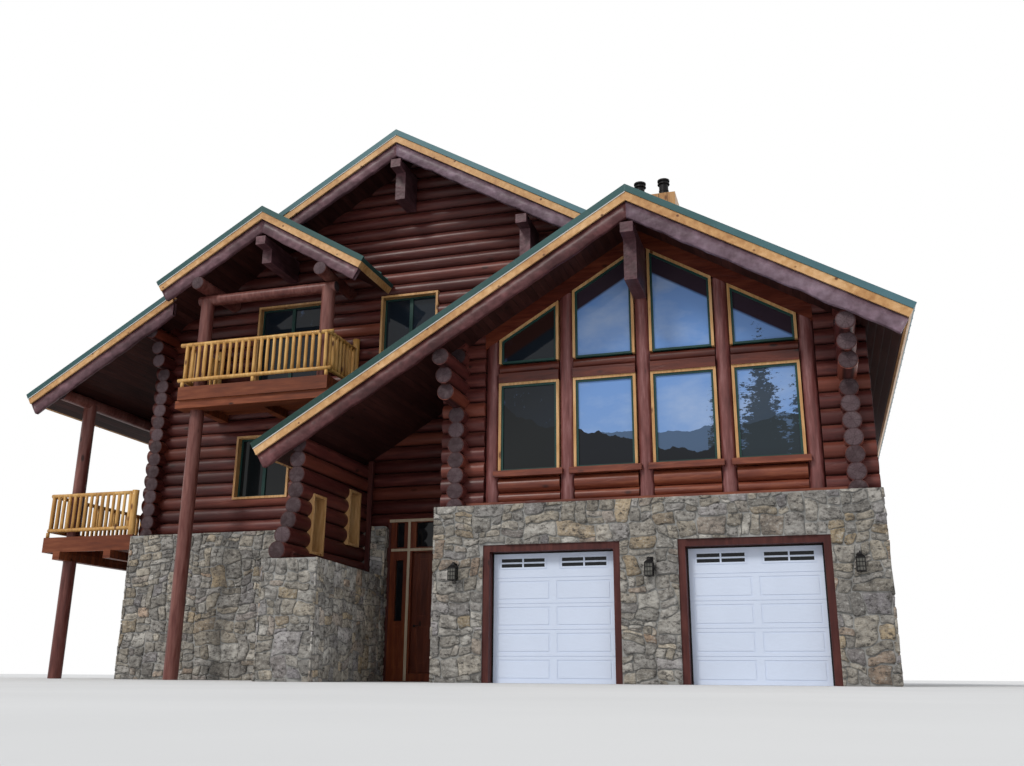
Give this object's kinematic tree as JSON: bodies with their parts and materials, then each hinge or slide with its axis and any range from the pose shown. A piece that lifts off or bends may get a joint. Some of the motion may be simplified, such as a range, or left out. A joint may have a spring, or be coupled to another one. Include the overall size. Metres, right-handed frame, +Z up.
{
  "type": "alpine log chalet",
  "caption": "Alpine log chalet on a fieldstone garage storey, with glazed gable wing, entry porch, balcony, side deck and green metal roofs.",
  "frame": {"origin": "middle of the whole outline, at the level the walls and posts stand on", "axes": "+X to the right across the front, +Y from the front to the back, +Z up"},
  "size_m": [20.96, 14.17, 12.915],
  "materials": {
    "fieldstone": "rough fieldstone in light mortar",
    "concrete": "trowelled concrete",
    "floor_boards": "sealed pine boards",
    "logs": "mahogany stained logs",
    "hewn_timber": "dark stained hewn timber",
    "pine": "clear coated knotty pine",
    "roof_metal": "green standing seam",
    "deck_timber": "red brown stained boards",
    "sash": "dark green clad",
    "glass": "clear glazing",
    "door_white": "satin white",
    "door_wood": "varnished red brown timber",
    "black_metal": "matt black"
  },
  "bodies": {
    "house": {"garage_front_wall": "fieldstone", "right_stone_wall": "fieldstone", "back_stone_wall": "fieldstone", "left_stone_wall": "fieldstone", "front_stone_wall": "fieldstone", "entry_stone": "fieldstone", "garage_side_wall": "fieldstone", "porch_stone_base": "fieldstone", "ground_floor": "concrete", "main_floor": "floor_boards", "upper_floor": "floor_boards", "log_corners": "logs", "wing_front_logs": "logs", "wing_window_posts": "logs", "wing_bay_timbers": "logs", "wing_side_logs": "logs", "right_logs": "logs", "main_front_logs": "logs", "left_logs": "logs", "back_logs": "logs", "porch_logs": "logs", "roof_deck_left": "hewn_timber", "roof_deck_right": "hewn_timber", "wing_roof_deck": "hewn_timber", "balcony_roof_deck": "hewn_timber", "roof_metal": "roof_metal", "pine_fascias": "pine", "barge_rafters": "hewn_timber", "ridge_beams": "hewn_timber", "window_casings": "pine", "balcony_door_casing": "pine", "window_sashes": "sash", "window_glass": "glass", "garage_door_left": "door_white", "garage_door_right": "door_white", "garage_trim": "logs", "entry_frame": "door_wood", "entry_hinges": "black_metal", "balcony_deck": "deck_timber", "balcony_posts": "logs", "balcony_railing": "pine", "veranda_deck": "deck_timber", "veranda_posts": "logs", "veranda_railing": "pine", "wall_lanterns": "black_metal", "flue_chase": "pine", "flue_pipes": "black_metal"},
    "door_leaf": {"entry_door": "door_wood", "entry_door_hardware": "black_metal"}
  },
  "joints": [
    {"name": "entry_door_swing", "type": "hinge", "parent": "house", "child": "door_leaf", "pos_m": [0.774, -3.045, 0.17], "axis": [0, 0, -1], "range_deg": [0, 90]}
  ]
}
